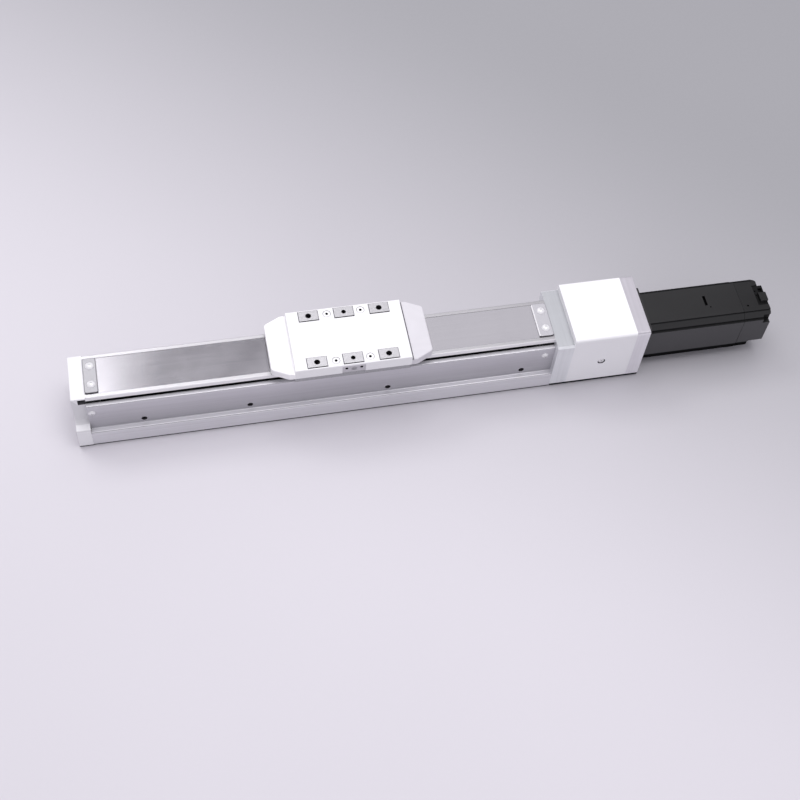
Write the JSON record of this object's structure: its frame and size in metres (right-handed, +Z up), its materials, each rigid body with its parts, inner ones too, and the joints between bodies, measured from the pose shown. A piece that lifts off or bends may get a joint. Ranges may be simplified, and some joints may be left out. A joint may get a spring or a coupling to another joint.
{
  "type": "ball screw linear module",
  "caption": "Covered ball screw linear module: slide on an extruded base with a stainless strip, bearing block, coupling housing and in-line servo motor.",
  "frame": {"origin": "on the plane the base stands on, under the middle of the whole length and width", "axes": "+X along the screw towards the motor, +Z up out of the slide table, +Y across"},
  "size_m": [0.513, 0.053, 0.0611],
  "materials": {
    "anodised_silver": "fine satin anodised extrusion",
    "white_paint": "satin white powder coat",
    "white_plastic": "moulded white plastic",
    "stainless": "brushed stainless steel",
    "screw_steel": "bright zinc plated steel",
    "dark_steel": "black oxide steel",
    "bearing_steel": "ground hardened steel",
    "black_rubber": "black rubber",
    "motor_black": "satin black paint",
    "black_plastic": "black moulded plastic",
    "coupling_alloy": "machined aluminium",
    "spider_red": "red polyurethane",
    "copper": "enamelled copper winding",
    "board_green": "solder-masked circuit board"
  },
  "bodies": {
    "base": {"base_rail": "anodised_silver", "bearing_block": "anodised_silver", "motor_adapter_plate": "anodised_silver", "top_cover": "anodised_silver", "left_end_cap": "white_paint", "coupling_housing": "white_paint", "seal_strip": "stainless", "strip_clamp_left": "stainless", "strip_clamp_right": "stainless", "strip_clamp_screws": "screw_steel", "side_wall_screws": "screw_steel", "end_cap_screws": "screw_steel", "access_plug": "screw_steel", "bearing_block_screws": "dark_steel", "housing_bolts": "dark_steel", "motor_screws": "dark_steel", "retainer_screws": "dark_steel", "encoder_cover_screws": "dark_steel", "bearing_retainer": "dark_steel", "guide_rail_front": "bearing_steel", "guide_rail_rear": "bearing_steel", "support_bearing_outer": "bearing_steel", "support_bearing_balls": "bearing_steel", "fixed_bearing_outer": "bearing_steel", "fixed_bearing_balls": "bearing_steel", "motor_bearings_outer": "bearing_steel", "motor_bearing_balls": "bearing_steel", "left_bumper": "black_rubber", "right_bumper": "black_rubber", "motor_flange": "motor_black", "motor_stator": "motor_black", "encoder_cover": "motor_black", "motor_connector": "black_plastic", "stator_coils": "copper", "encoder_board": "board_green"},
    "carriage": {"carriage_block": "bearing_steel", "ball_nut": "bearing_steel", "nut_return_caps": "black_plastic", "nut_balls": "bearing_steel", "guide_balls": "bearing_steel", "slide_table": "white_paint", "slide_end_left": "white_plastic", "slide_end_right": "white_plastic", "strip_wipers": "black_rubber", "table_screws": "screw_steel", "grease_port_plates": "stainless", "grease_nipples": "screw_steel"},
    "screw": {"ball_screw": "bearing_steel", "support_bearing_inner": "bearing_steel", "fixed_bearing_inner": "bearing_steel", "bearing_lock_nut": "dark_steel", "coupling_hub_screw": "coupling_alloy", "coupling_hub_motor": "coupling_alloy", "coupling_spider": "spider_red", "coupling_set_screws": "dark_steel", "motor_shaft": "bearing_steel", "motor_rotor": "dark_steel", "motor_bearings_inner": "bearing_steel", "encoder_disc": "bearing_steel"}
  },
  "joints": [
    {"name": "carriage_slide", "type": "slide", "parent": "base", "child": "carriage", "axis": [1, 0, 0], "range_m": [-0.1185, 0.0815]},
    {"name": "screw_spin", "type": "hinge", "parent": "base", "child": "screw", "pos_m": [0, 0, 0.028], "axis": [1, 0, 0], "range_deg": [-2940, 4272]}
  ],
  "couplings": [
    {"joint": "screw_spin", "follows": "carriage_slide", "rad_per_m": -628.32}
  ]
}
